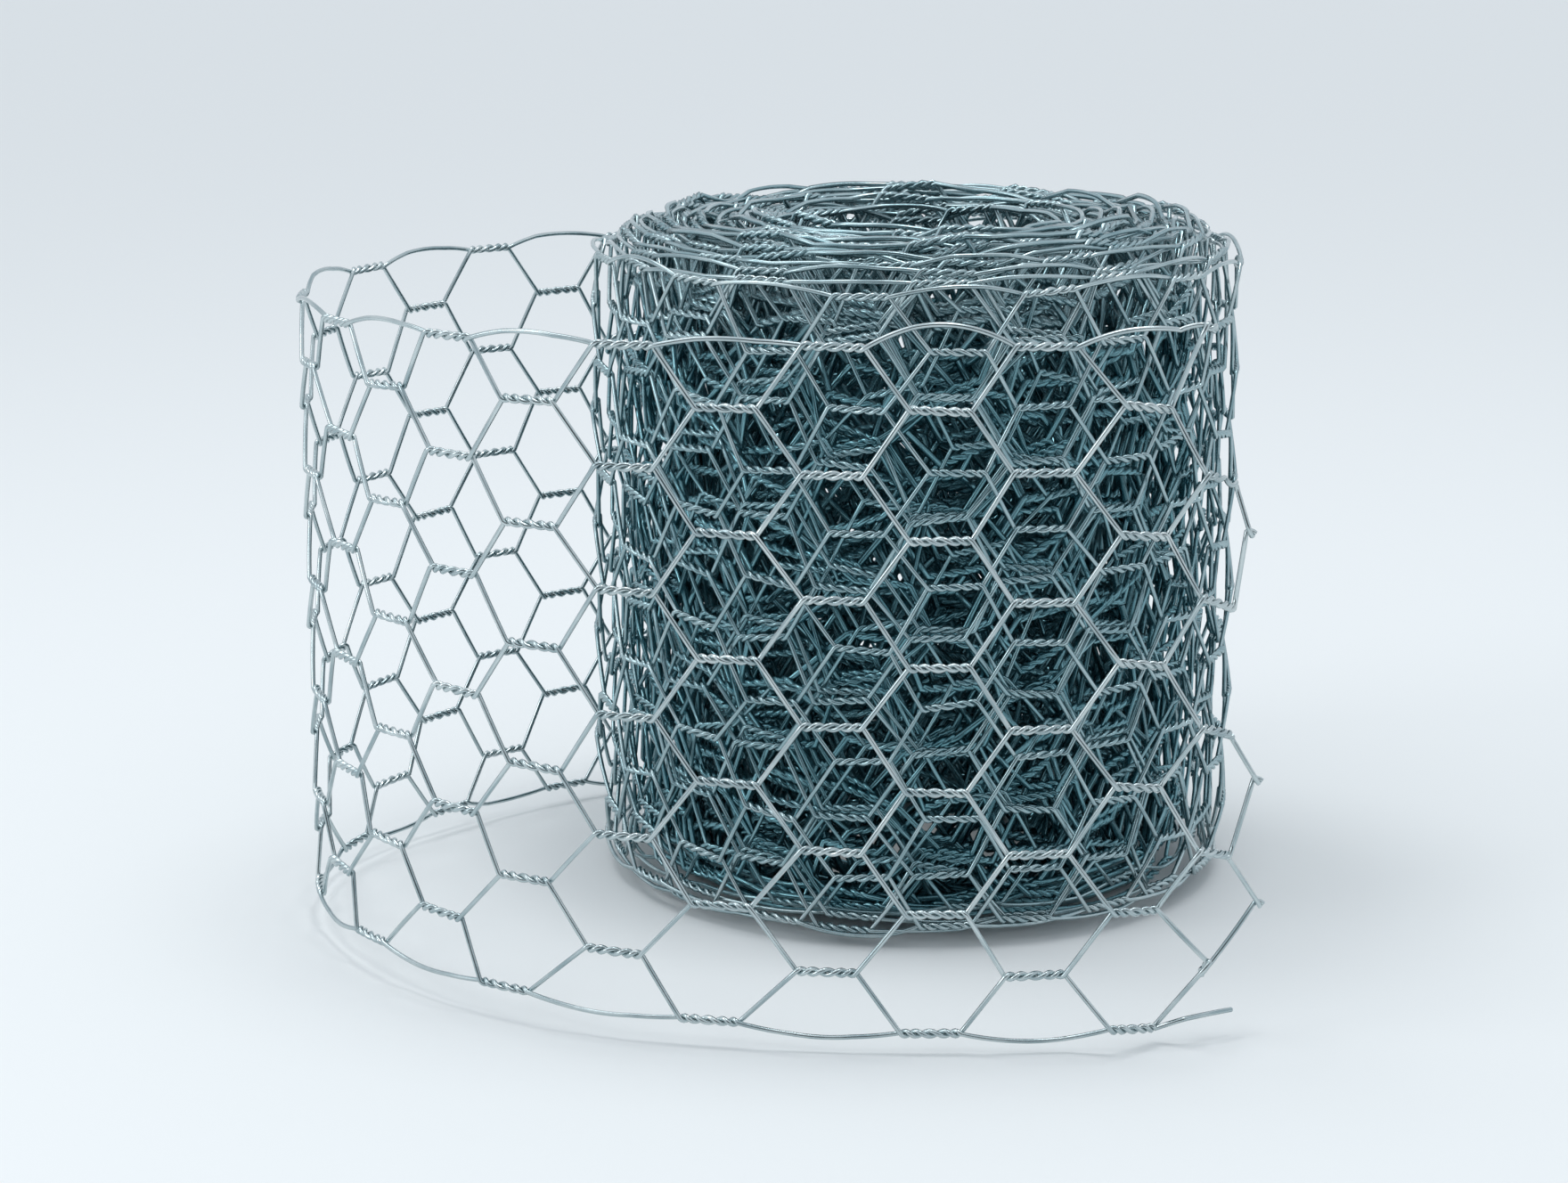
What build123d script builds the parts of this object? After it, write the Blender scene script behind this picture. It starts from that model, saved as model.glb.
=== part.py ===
from build123d import *
import math
import os

# A roll of hexagonal wire netting that stands on its end, in millimetres.
# The origin is on the roll's axis where it meets the floor, and +Z runs up the bore.
# The last length of the netting has come loose: it leaves the roll at the back,
# swings round the left side and passes in front of the roll to its cut end.

# Driving dimensions of the netting
wire = 1.0  # diameter of the galvanised wire
row_rise = 12.5  # height from one row of twists to the next, half of a 25 mm mesh
edge_rise = 11.9  # the outermost rows are drawn a little closer to the edge wires
rows = 11  # the rows of twists are numbered 0 to 11, with the edge wires' own rows
column_pitch = 19.8  # along the netting, from one column of twists to the next
columns = 22  # from where the netting leaves the roll to its cut end
twist_length = 11.8
twist_width = 1.8  # across two strands that are twisted together
edge_wave = 2.2  # how far an edge wire bows outwards between two of its twists
edge_crest = 3.5  # half of the straight stretch at the top of that bow

# Driving dimensions of the roll
bore_radius = 33.0
roll_radius = 72.5
ridges = 7  # the ends show the turns, two or three of them to a ridge
ridge_depth = 2.4
rim = 1.2  # flat rim of the innermost and of the outermost turn
telescope = 8.5  # how much higher the inner turns stand than the outermost one
telescope_reach = 5.0  # distance inwards over which they rise by about two thirds of that

# The loose end's plan: where it leaves the roll, then arcs that run on into each other
leave_angle = 100.0  # degrees round from +X
loose_arcs = (  # radius, and the degrees that the netting turns through
    (168.0, 46.0),
    (67.0, 54.0),
    (109.0, 58.0),
    (252.0, 20.0),
    (55.0, 45.0),
)

# The cut end: twists that were snipped short, and stubs that stand past the last twists
snipped_twists = {1: 3.0, 9: 3.0, 11: 3.5}
stub_rows = (2, 4, 8)
stub_length = 1.8
edge_tail = 14.0  # the bottom edge wire runs on past its last twist

# Worked out from those
strand = wire * math.sqrt(math.pi) / 2  # side of a square bar with the round wire's area
slant_run = column_pitch - twist_length
slant = math.atan2(row_rise, slant_run)
half_twist = strand / 2 / math.cos(slant)  # half of a twist's height, to suit the wires
point_gap = half_twist / math.tan(slant)  # from a twist's end to the point of a mesh
margin = edge_wave + strand / 2  # from the ends of the roll to the outermost rows
clear = 1.0  # how far a cutter reaches past what it cuts
touch = 0.001  # two stations closer than this are the same
seat_bite = 0.1  # the first twists are trimmed by this much to seat on the roll
last = columns - 1  # the last column with whole twists
up = Vector(0, 0, 1)


def height(row):
    """Height of a row of twists above the floor."""
    inner = min(max(row - 1, 0), rows - 2)
    return margin + inner * row_rise + (row > 0) * edge_rise + (row == rows) * edge_rise


roll_height = height(rows) + margin


def loose_plan():
    """The line that the loose end follows over the floor, from the roll to its cut end."""
    angle = math.radians(leave_angle)
    outwards = Vector(math.cos(angle), math.sin(angle), 0)
    start = outwards * (roll_radius + twist_width / 2 - seat_bite)
    way = up.cross(outwards)
    arcs = []
    for radius, turn in loose_arcs:
        arc = JernArc(start=start, tangent=way, radius=radius, arc_size=turn)
        arcs.append(arc.edge())
        start, way = arc @ 1, arc % 1
    return Wire(arcs)


def column_places():
    """Where each column of twists stands, with one more column before and after."""
    plan = loose_plan()
    spots = {}
    for column in range(columns + 1):
        spots[column] = plan.position_at(column * column_pitch, position_mode=PositionMode.LENGTH)
    spots[last] = (spots[last - 1] + spots[columns]) / 2  # the cut end lies flat
    spots[-1] = spots[0] - plan.tangent_at(0) * column_pitch
    spots[columns + 1] = spots[columns] * 2 - spots[last]
    return spots


def column_stations():
    """How far along the netting each column of twists is."""
    found = {-1: -column_pitch}
    for column in range(columns + 2):
        found[column] = found[column - 1] + (places[column] - places[column - 1]).length
    return found


places = column_places()
stations = column_stations()


def heading(column):
    """The way the netting runs from a column to the next one."""
    return (places[column + 1] - places[column]).normalized()


def section(station, depth):
    """The two corners of the netting's plan at a distance along it, one on each face."""
    column = max(number for number, at in stations.items() if at < station + touch)
    way = heading(column)
    middle = places[column] + way * (station - stations[column])
    across = up.cross(way)
    if station < stations[column] + touch:
        mitre = up.cross(heading(column - 1) + way)
        across = mitre * (1 / mitre.dot(across))
    return middle - across * (depth / 2), middle + across * (depth / 2)


def strip(start, end, depth):
    """Plan of a stretch of the netting, as a strip of a given thickness."""
    bends = [at for at in stations.values() if start + touch < at < end - touch]
    inner, outer = zip(*[section(station, depth) for station in (start, *bends, end)])
    return make_face(Polyline(*inner, *reversed(outer), close=True))


def twist_start(column, row):
    return stations[column] - twist_length / 2


def twist_end(column, row):
    if column == last and row in snipped_twists:
        return twist_start(column, row) + snipped_twists[row]
    if column == columns:
        return twist_start(column, row) + stub_length
    return stations[column] + twist_length / 2


def mesh_hole(column, row):
    """The six corners of a mesh whose middle is at a column and a row."""
    low, high = height(row - 1) + half_twist, height(row + 1) - half_twist
    return [
        (twist_end(column - 1, row) + point_gap, height(row)),
        (twist_start(column, row - 1), low),
        (twist_end(column, row - 1), low),
        (twist_start(column + 1, row) - point_gap, height(row)),
        (twist_end(column, row + 1), high),
        (twist_start(column, row + 1), high),
    ]


def edge_hole(column, row, out):
    """The mesh between an edge wire's bow and the twist across from it."""
    inner = height(row - out) + out * half_twist
    crest = height(row) + out * (edge_wave - strand / 2)
    point = height(row) - out * strand / 3
    return [
        (twist_end(column - 1, row) + strand, point),
        (twist_start(column, row - out), inner),
        (twist_end(column, row - out), inner),
        (twist_start(column + 1, row) - strand, point),
        (stations[column] + edge_crest, crest),
        (stations[column] - edge_crest, crest),
    ]


def edge_notch(column, row, out):
    """What is clear outside an edge wire, from one crest over a twist to the next."""
    twist_face = height(row) + out * half_twist
    crest = height(row) + out * margin
    return [
        (stations[column - 1] + edge_crest, crest),
        (twist_start(column, row), twist_face),
        (twist_end(column, row), twist_face),
        (stations[column + 1] - edge_crest, crest),
        (stations[column + 1] - edge_crest, crest + out * clear),
        (stations[column - 1] + edge_crest, crest + out * clear),
    ]


def holes(column):
    """All that is open round one column of twists."""
    made = [mesh_hole(column, row) for row in range(1, rows) if (row - column) % 2]
    for row, out in ((0, -1), (rows, 1)):
        shape = edge_hole if (row - column) % 2 else edge_notch
        made.append(shape(column, row, out))
    return made


def snipped_away():
    """What the side cutters took: wires to stubs that are gone, and the edge wires' ends."""
    made = []
    beyond = stations[columns] + column_pitch
    for row in range(0, rows, 2):
        if row in stub_rows:
            continue
        low, high = max(row - 1, 0), row + 1
        made.append([
            (twist_end(last, low), height(low) + half_twist),
            (twist_end(last, low) + point_gap, height(low)),
            (beyond, height(low)),
            (beyond, height(high)),
            (twist_end(last, high) + point_gap, height(high)),
            (twist_end(last, high), height(high) - half_twist),
        ])
    return made


def edge_ends_away():
    """The edge wires past the points where they were cut."""
    beyond = stations[columns] + column_pitch
    top, tail = twist_end(last, rows), twist_end(last - 1, 0) + edge_tail
    low = twist_end(last, 1)
    return [
        [(top, height(rows) - half_twist), (beyond, height(rows) - half_twist),
         (beyond, roll_height + clear), (top, roll_height + clear)],
        [(low, height(1) - half_twist), (low + point_gap, height(1)), (beyond, height(1)),
         (beyond, -clear), (tail, -clear), (tail, height(0))],
    ]


def strip_cutter(pattern, column):
    """The open part of the netting between two columns, as prisms through its thickness."""
    start, end = stations[column], stations[column + 1]
    window = Pos((start + end) / 2, roll_height / 2) * Rectangle(end - start + strand, roll_height * 2)
    way = heading(column)
    face = Plane(origin=places[column] - way * start, x_dir=way, z_dir=way.cross(up))
    return extrude(face * (pattern & window), twist_width, both=True)


def twists(column, start, end):
    """A column's twists, which are thicker than the single wires, within a panel."""
    made = []
    for row in range(column % 2, rows + 1, 2):
        if column == columns and row not in stub_rows:
            continue
        begin = max(start, twist_start(column, row))
        plan = strip(begin, min(end, twist_end(column, row)), twist_width)
        made.append(extrude(Pos(0, 0, height(row) - half_twist) * plan, half_twist * 2))
    return made


def loose_panel(first):
    """One mesh's length of the loose end, between the middles of two columns of twists."""
    start, end = stations[first], stations[first + 2]
    open_shapes = [shape for column in range(first, first + 3) for shape in holes(column)]
    if first + 2 == columns:
        end = twist_end(columns, 0)
        open_shapes += snipped_away() + edge_ends_away()
    pattern = Sketch() + [make_face(Polyline(*shape, close=True)) for shape in open_shapes]
    sheet = extrude(strip(start, end, strand), roll_height)
    for column in (first, first + 1):
        sheet -= strip_cutter(pattern, column)
    return sheet + [bar for column in range(first, first + 3) for bar in twists(column, start, end)]


def turn_rise(radius):
    """How much higher a turn stands than the outermost one, because the roll has telescoped."""
    inwards = max(roll_radius - rim - radius, 0)
    return telescope * (1 - math.exp(-inwards / telescope_reach))


def wound_roll():
    """The wound part: one turned ring, with ridges on both ends for its turns."""
    pitch = (roll_radius - bore_radius) / ridges
    foot = [(bore_radius, 0.0), (bore_radius + rim, 0.0)]
    for ridge in range(ridges - 1):
        foot.append((bore_radius + pitch * (ridge + 0.75), ridge_depth))
        foot.append((bore_radius + pitch * (ridge + 1.25), 0.0))
    foot[-1] = (roll_radius - pitch / 2, 0.0)
    foot += [(roll_radius - rim, 0.0), (roll_radius, 0.0)]
    head = [(radius, roll_height + turn_rise(radius) - notch) for radius, notch in reversed(foot)]
    return revolve(make_face(Plane.XZ * Polyline(*foot, *head, close=True)), Axis.Z, 360)


def write(shape, name):
    shape.label = name
    export_step(shape, os.path.join("parts", name + ".step"))


os.makedirs("parts", exist_ok=True)
write(wound_roll(), "wound_roll")
roll_space = Cylinder(roll_radius, roll_height, align=(Align.CENTER, Align.CENTER, Align.MIN))
for number, first in enumerate(range(0, columns, 2), start=1):
    netting = loose_panel(first)
    if first == 0:
        netting -= roll_space
    write(netting, f"loose_end_{number:02d}")
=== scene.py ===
import bpy
import math
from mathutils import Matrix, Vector


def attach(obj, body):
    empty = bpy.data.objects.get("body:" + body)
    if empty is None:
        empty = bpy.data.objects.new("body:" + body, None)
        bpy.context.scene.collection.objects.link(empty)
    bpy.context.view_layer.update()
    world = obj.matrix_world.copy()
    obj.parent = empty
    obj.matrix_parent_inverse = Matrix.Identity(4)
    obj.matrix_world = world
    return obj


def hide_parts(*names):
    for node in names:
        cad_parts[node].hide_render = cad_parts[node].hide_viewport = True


# A roll of hexagonal wire netting that stands on its end, with its last length unwound.
# Everything is in metres, in the part's own frame: the roll's axis is Z, the floor is z = 0.

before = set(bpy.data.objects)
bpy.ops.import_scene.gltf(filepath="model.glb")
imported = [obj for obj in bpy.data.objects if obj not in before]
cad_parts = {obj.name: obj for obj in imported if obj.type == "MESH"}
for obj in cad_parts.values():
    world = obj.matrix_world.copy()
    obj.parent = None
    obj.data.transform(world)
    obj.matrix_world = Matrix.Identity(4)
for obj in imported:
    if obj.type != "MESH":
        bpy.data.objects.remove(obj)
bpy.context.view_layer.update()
print("frame loaded")

# The netting: sizes that its thirteen wires are worked out from
netting = {
    "wireRadius": 0.0005,
    "rowRise": 0.0125,  # half of a 25 mm mesh
    "edgeRise": 0.0119,  # the outermost rows are drawn closer to the edge wires
    "columnPitch": 0.0198,
    "twistLength": 0.0118,
    "twistTurns": 2.5,  # the wires cross once more where they come together at its ends
    "startTurn": 0.25,  # the strands lie side by side, one out and one in, where a twist starts
    "endHaste": 0.04,  # and run round each other faster at its ends
    "edgeWave": 0.0026,  # how far the top edge wire bows outwards between its twists
    "footWave": 0.0016,  # and the bottom edge wire, which rests on the floor
    "waveSpread": 0.5,  # how much the bows' heights differ, as a share of them
    "lowestTwist": 0.00264,  # height of the bottom row of twists above the floor
    "netWidth": 0.1416,  # over the bows of both edge wires
}
topRow = 11  # the rows of twists are numbered from the bottom one, which is 0
endColumn = 21  # the last column with whole twists; the one after it holds a few stubs

# The plan that the netting follows: a spiral, then arcs that run on into each other
planLine = {
    "leaveAngle": 100.0,  # degrees round from +X
    "leaveRadius": 0.0733,
    "turns": 25,
    "looseTurn": 0.7,  # the last turn has sprung open as far back as this
    "woundTurn": 1.1,  # and from here inwards the turns lie on each other
    "woundRadius": 0.0716,
    "outerPitch": 0.0022,  # between the outer turns
    "tightTurn": 4.15,  # further in than this they are tight
    "turnPitch": 0.00151,
    "oval": 0.0003,  # the outer turns are this much wider from front to back, and narrower across
    "ovalGrowth": 0.5,  # turns over which that sets in
    "telescope": 0.0085,  # how much higher the inner turns stand
    "telescopeTurns": 2.4,  # turns over which they rise by about two thirds of that
    "unevenness": 0.0012,  # of their heights, which go up and down
    "unevenRate": 0.37,  # so many times in a turn
    "unevenGrowth": 2,  # turns over which that sets in
    # radius of each arc, and the degrees that it turns through
    "looseArcs": ((0.168, 46.0), (0.067, 54.0), (0.109, 58.0), (0.252, 20.0), (0.055, 60.0)),
    "pointSpacing": 0.0012,
}

# Stretches of netting, by their columns of twists, counted from where it leaves the roll.
# The deeper ones hardly show, so their wires have fewer sides and samples.
stretches = {
    "innerTurns": {"firstColumn": -415, "lastColumn": -372, "sides": 5, "twistSamples": 13,
                   "slantSamples": 2},
    "deepTurns": {"firstColumn": -372, "lastColumn": -238, "sides": 4, "twistSamples": 11,
                  "slantSamples": 1},
    "middleTurns": {"firstColumn": -238, "lastColumn": -104, "sides": 4, "twistSamples": 11,
                    "slantSamples": 1},
    "thirdTurns": {"firstColumn": -104, "lastColumn": -46, "sides": 5, "twistSamples": 13,
                   "slantSamples": 2},
    "outerTurns": {"firstColumn": -46, "lastColumn": 0, "sides": 6, "twistSamples": 20,
                   "slantSamples": 4},
    "looseEnd": {"firstColumn": 0, "lastColumn": 23, "sides": 8, "twistSamples": 30,
                 "slantSamples": 6},
}

# Where each change in the netting sets in: the column of twists, and over how many columns,
# which are less than nothing where it sets in backwards, into the roll
zones = {
    "roll": (0, -20),
    "pulledEdges": (0, -40),
    "pressedFeet": (0, -45),
    "leavingRoll": (0, -5),
    "lastTurn": (-30, 6),
    "buried": (-46, -60),
    "thickened": (-96, -40),
    "deepFeet": (-160, -25),
    "drawnOut": (14, 4),
    "swung": (endColumn - 2, 1),
}

# How far each twist strays from its regular place
straying = {
    "seed": 4,
    "jitter": (0.0012, 0.0006, 0.0012),  # of each twist: along, out and up
    "tilt": 0.16,  # rise of a twist for its run
    "tiltSeed": 11,
    "looseShare": 0.25,  # the loose end strays a quarter as far as the roll's outer turns
    "crush": 1.4,  # and the turns behind those stray further, by this many times as much
    "edgeHold": 0.5,  # the edge wires hold their twists to half of that
    "lean": -0.012,  # the loose end's foot is dragged back towards the roll
    "leanColumn": 11.0,  # most at this column
    "leanReach": 8.0,  # and for so many columns to either side
    "leanRows": 4.5,  # up to this row
    "lift": 0.003,  # its low rows are lifted where it is dragged
    "sag": -0.0025,  # and its high rows sag
    "sagRow": 6.0,  # from this row
    "sagRows": 4.0,  # over so many
    "drawOut": 0.0023,  # the netting is drawn out before its cut end
    "springBack": -0.0032,  # which has sprung back, by so much for each column
    "droop": -0.0026,  # and hangs a little between the edge wires
    "droopArch": 0.055,  # how fast the droop grows with the rows from both edges
    "swing": 0.45,  # radians that its twists are turned towards the roll
    "endTilt": -0.18,  # and they dip, the last ones twice as much
}

# How the netting is bent and pressed in the roll
pressing = {
    "edgePull": -0.6,  # the wound turns pull this share out of their edge wires' bows
    "outSwell": 0.0030,  # slow swells, so that no two turns lie quite alike
    "upSwell": 0.0060,
    "swellRate": 9.0,  # swells to a metre of netting
    "swellGrowth": -0.4,  # metres of netting over which they set in, back into the roll
    "buckle": 3.0,  # how much more the buried turns swell up and down between their edges
    "footDraw": -0.0022,  # the foot of the last wound turn is drawn in to the others
    "footDrawHeight": 0.024,  # up to this height
    "footDrawBend": 1.6,  # the power that bends it in, where 1 would be straight
    "settle": -0.0040,  # the feet of the wound turns are pressed down together
    "deepSettle": -0.0050,  # and those behind the eighth reach the floor
    "thickening": 0.8,  # of the wires behind the fourth, so that no light comes through the roll
    "thickeningRate": 125.0,  # for each metre below the top edge, which stays thin
}

# Painted shade: how dark and teal a wire is painted by its depth in the roll, from 0 to 1
paintedDepthShade = {
    "firstDull": 0.4,  # the share that sets in where the netting leaves the roll
    "firstDullRate": -0.3,  # by so much for each column
    "deepDullRate": -0.011,  # the rest grows more slowly with each column
    "deepDullStart": -0.2,  # from not quite a turn inside the roll
    "topDullRate": 40.0,  # for each metre below the top edge
    "footDullRate": 60.0,  # for each metre above the foot
    "endsDull": 0.4,  # the least share of it, at the roll's ends
}

# Twists of the cut end that were pushed out of place: (column, row), then along, out and up,
# and the share of its length that a twist has lost where it was unravelled
pushedTwists = {
    (22, 8): (-0.0050, 0.0, -0.0010, 0.0),
    (22, 4): (-0.0008, 0.0, -0.0012, 0.0),
    (22, 2): (0.0010, 0.0, -0.0024, 0.0),
    (21, 11): (-0.0015, 0.0, 0.0014, 0.0),
    (21, 7): (-0.0010, 0.0, 0.0005, 0.0),
    (21, 1): (-0.0012, 0.0, 0.0004, 0.85),
}

# Heights of some of the edge wires' bows, by the column in the middle of each and the edge,
# which is 1 for the top and -1 for the foot; the last one is the tail, which turns up
setBows = {
    (14, 1): 0.0020, (16, 1): 0.0014, (18, 1): 0.0042, (20, 1): 0.0030, (21, -1): -0.0012,
}

# Where each wire of the loose end was snipped: column of twists, and how far past its middle
snips = (
    (20, 0.0254),  # the bottom edge wire runs on
    (21, -0.0029), (22, -0.0041), (22, -0.0041), (22, -0.0041), (22, -0.0041), (21, 0.0059),
    (21, 0.0059), (22, -0.0041), (22, -0.0041), (21, -0.0029), (21, -0.0024),
    (21, -0.0024),  # the top edge wire
)

twistCodes = 29  # every twist has a number: its column times this, plus its row
bowCodes = 3  # and so has every bow: its column times this, plus its edge
sameCode = 0.1  # two numbers that are closer than this are the same
runStep = 0.37  # metres between the starts of two wires' lengthwise streaks
swellStarts = {"outSwell": 0, "upSwell": 70}  # in swells, far enough apart that they differ

socketKinds = {float: "NodeSocketFloat", int: "NodeSocketInt", tuple: "NodeSocketVector"}


def addNode(tree, kind, inputs=(), **settings):
    # one node with its settings, its values and its links
    node = tree.nodes.new(kind)
    for name, value in settings.items():
        setattr(node, name, value)
    for key, value in dict(inputs).items():
        if isinstance(value, bpy.types.NodeSocket):
            tree.links.new(value, node.inputs[key])
        else:
            node.inputs[key].default_value = value
    return node


def workOut(tree, known, formula):
    # a table of sums: result, operation and up to three terms, each a known name or a number;
    # the result of a sum marked CLAMPED is kept between 0 and 1
    for result, operation, *terms in formula:
        operation, _, clamped = operation.partition(" ")
        inputs = {place: known.get(term, term) for place, term in enumerate(terms)}
        known[result] = addNode(tree, "ShaderNodeMath", inputs, operation=operation,
                                use_clamp=bool(clamped)).outputs[0]


def ramp(result, column, zone):
    # two sums that give 0 before a zone and 1 past it
    first, columns = zones[zone]
    past = result + "Past"
    return (past, "SUBTRACT", column, first), (result, "DIVIDE CLAMPED", past, columns)


def inputName(key):
    # columnPitch becomes Column Pitch
    return "".join(" " + letter if letter.isupper() else letter for letter in key).title()


def inputsFor(*tables):
    # a named input for each value of some dictionaries
    return [(inputName(key), socketKinds[type(value)])
            for table in tables for key, value in table.items()]


def newTree(name, inputs, outputs):
    tree = bpy.data.node_groups.new(name, "GeometryNodeTree")
    for label, kind in inputs:
        tree.interface.new_socket(label, in_out="INPUT", socket_type=kind)
    for label, kind in outputs:
        tree.interface.new_socket(label, in_out="OUTPUT", socket_type=kind)
    entry = tree.nodes.new("NodeGroupInput")
    return tree, {socket.name: socket for socket in entry.outputs if socket.name}


# The plan line

def looseArcPoint(distance):
    # place on the loose end, at a distance from where it leaves the roll
    angle = math.radians(planLine["leaveAngle"])
    place = Vector((math.cos(angle), math.sin(angle))) * planLine["leaveRadius"]
    for radius, degrees in planLine["looseArcs"]:
        turned = min(distance / radius, math.radians(degrees))
        inward = Vector((-math.cos(angle), -math.sin(angle)))
        centre = place + inward * radius
        angle += turned
        place = centre + Vector((math.cos(angle), math.sin(angle))) * radius
        distance -= turned * radius
        if distance <= 0:
            break
    return Vector((place.x, place.y, 0.0))


def turnRadius(back):
    # radius of the wound netting, so many turns back from where it leaves the roll
    loose, wound, tight = planLine["looseTurn"], planLine["woundTurn"], planLine["tightTurn"]
    if back > wound:
        inwards = planLine["outerPitch"] * (min(back, tight) - wound)
        return planLine["woundRadius"] - inwards - planLine["turnPitch"] * max(back - tight, 0)
    share = max(back - loose, 0) / (wound - loose)
    eased = share * share * (3 - 2 * share)
    return planLine["leaveRadius"] + (planLine["woundRadius"] - planLine["leaveRadius"]) * eased


def turnPoint(back):
    # place on the wound netting, which rises inwards because the roll has telescoped
    angle = math.radians(planLine["leaveAngle"]) - back * math.tau
    ovalShare = min(max(back - planLine["looseTurn"], 0) / planLine["ovalGrowth"], 1.0)
    ovalShare *= 1 - back / planLine["turns"]
    radius = turnRadius(back) - planLine["oval"] * ovalShare * math.cos(2 * angle)
    rise = planLine["telescope"] * (1 - math.exp(-back / planLine["telescopeTurns"]))
    unevenShare = min(back / planLine["unevenGrowth"], 1.0)
    rise += planLine["unevenness"] * math.sin(math.tau * planLine["unevenRate"] * back) * unevenShare
    return Vector((math.cos(angle) * radius, math.sin(angle) * radius, rise))


def makePlanLine():
    # from the bore outwards, then along the loose end
    spacing = planLine["pointSpacing"]
    wound = [turnPoint(0.0)]
    back = 0.0
    while back < planLine["turns"]:
        back += spacing / (turnRadius(back) * math.tau)
        wound.append(turnPoint(back))
    wound.reverse()
    looseLength = sum(radius * math.radians(degrees) for radius, degrees in planLine["looseArcs"])
    looseCount = int(looseLength / spacing)
    loose = [looseArcPoint(looseLength * (n + 1) / looseCount) for n in range(looseCount)]
    data = bpy.data.curves.new("planLine", "CURVE")
    data.dimensions = "3D"
    spline = data.splines.new("POLY")
    spline.points.add(len(wound) + len(loose) - 1)
    for point, spot in zip(spline.points, wound + loose):
        point.co = (spot.x, spot.y, spot.z, 1)
    line = bpy.data.objects.new("planLine", data)
    bpy.context.scene.collection.objects.link(line)
    length = sum((after - before).length for before, after in zip(wound, wound[1:]))
    print("plan line made, wound length", round(length, 3))
    return line, length


# The netting

def scatterTwist(tree, known):
    # a twist's random jitter, as a vector, and its tilt
    workOut(tree, known, (
        ("columnCode", "MULTIPLY", "Column", twistCodes),
        ("code", "ADD", "columnCode", "Row"),
        *ramp("woundIn", "Column", "roll"),
        ("woundShare", "SUBTRACT", 1.0, "Loose Share"),
        ("outerFreedom", "MULTIPLY_ADD", "woundIn", "woundShare", "Loose Share"),
        *ramp("crushIn", "Column", "buried"),
        ("fullFreedom", "MULTIPLY_ADD", "crushIn", "Crush", "outerFreedom"),
        ("fromFoot", "MINIMUM", "Row", 1.0),
        ("rowsBelowTop", "SUBTRACT", topRow, "Row"),
        ("fromTop", "MINIMUM", "rowsBelowTop", 1.0),
        ("fromEdge", "MULTIPLY", "fromFoot", "fromTop"),
        ("edgeFreedom", "SUBTRACT", 1.0, "Edge Hold"),
        ("edgeShare", "MULTIPLY_ADD", "fromEdge", "edgeFreedom", "Edge Hold"),
        ("freedom", "MULTIPLY", "fullFreedom", "edgeShare"),
    ))
    scatter = addNode(tree, "FunctionNodeRandomValue", {
        0: (-1.0, -1.0, -1.0), 1: (1.0, 1.0, 1.0), "ID": known["code"], "Seed": known["Seed"],
    }, data_type="FLOAT_VECTOR").outputs[0]
    spread = addNode(tree, "ShaderNodeVectorMath", {0: scatter, 1: known["Jitter"]},
                     operation="MULTIPLY").outputs[0]
    jitter = addNode(tree, "ShaderNodeVectorMath", {0: spread, "Scale": known["freedom"]},
                     operation="SCALE").outputs[0]
    known["tiltScatter"] = addNode(tree, "FunctionNodeRandomValue", {
        2: -1.0, 3: 1.0, "ID": known["code"], "Seed": known["Tilt Seed"],
    }, data_type="FLOAT").outputs[1]
    workOut(tree, known, (
        ("tiltFull", "MULTIPLY", "tiltScatter", "Tilt"),
        ("tiltNow", "MULTIPLY", "tiltFull", "freedom"),
    ))
    return jitter


def dragFoot(tree, known):
    # the nearer a twist is to the column that is dragged most, the more it moves: the lowest ones
    # back towards the roll, the low ones up and the high ones down
    workOut(tree, known, (
        ("fromMiddle", "SUBTRACT", "Column", "Lean Column"),
        ("away", "ABSOLUTE", "fromMiddle"),
        ("awayShare", "DIVIDE", "away", "Lean Reach"),
        ("near", "SUBTRACT CLAMPED", 1.0, "awayShare"),
        ("rowShare", "DIVIDE", "Row", "Lean Rows"),
        ("low", "SUBTRACT CLAMPED", 1.0, "rowShare"),
        ("lowSquared", "POWER", "low", 2.0),
        ("pastSagRow", "SUBTRACT", "Row", "Sag Row"),
        ("sagShare", "DIVIDE", "pastSagRow", "Sag Rows"),
        ("high", "MAXIMUM", "sagShare", 0.0),
    ))
    known["ease"] = addNode(tree, "ShaderNodeMapRange", {"Value": known["near"]},
                            interpolation_type="SMOOTHSTEP").outputs[0]
    workOut(tree, known, (
        ("drag", "MULTIPLY", "ease", "lowSquared"),
        ("dragged", "MULTIPLY", "drag", "Lean"),
        ("liftPart", "MULTIPLY", "ease", "low"),
        ("lifted", "MULTIPLY", "liftPart", "Lift"),
        ("sagPart", "MULTIPLY", "ease", "high"),
        ("sagged", "MULTIPLY_ADD", "sagPart", "Sag", "lifted"),
    ))


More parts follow.
